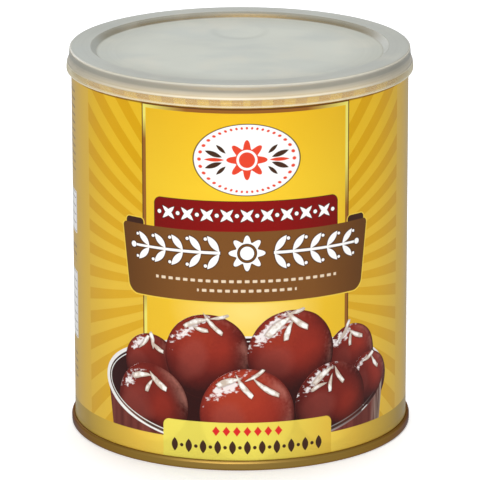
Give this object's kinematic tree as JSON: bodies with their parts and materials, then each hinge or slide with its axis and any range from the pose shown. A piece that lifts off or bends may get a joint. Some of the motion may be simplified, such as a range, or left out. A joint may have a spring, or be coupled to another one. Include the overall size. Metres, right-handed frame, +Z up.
{
  "type": "printed food tin with plastic lid",
  "caption": "Shut cylindrical tin with a printed wall, rolled seams, an easy-open end with a ring-pull, and a translucent push-on plastic lid over it.",
  "frame": {"origin": "on the tin's axis, in the plane of its standing rim", "axes": "+Z up along the tin's axis; the front of the label faces -Y, and +X is to its right"},
  "size_m": [0.104, 0.104, 0.1172],
  "materials": {
    "printed_wall": "glossy litho print in mustard, brown and dark red on tinplate",
    "gold_lacquer": "gold lacquered tinplate, semi-gloss",
    "tab_metal": "plain bright metal",
    "lid_plastic": "translucent milky plastic, satin"
  },
  "bodies": {
    "root": {"can_body": "printed_wall", "bottom_end": "gold_lacquer", "top_end": "gold_lacquer", "pull_tab": "tab_metal", "lid": "lid_plastic"}
  },
  "joints": []
}
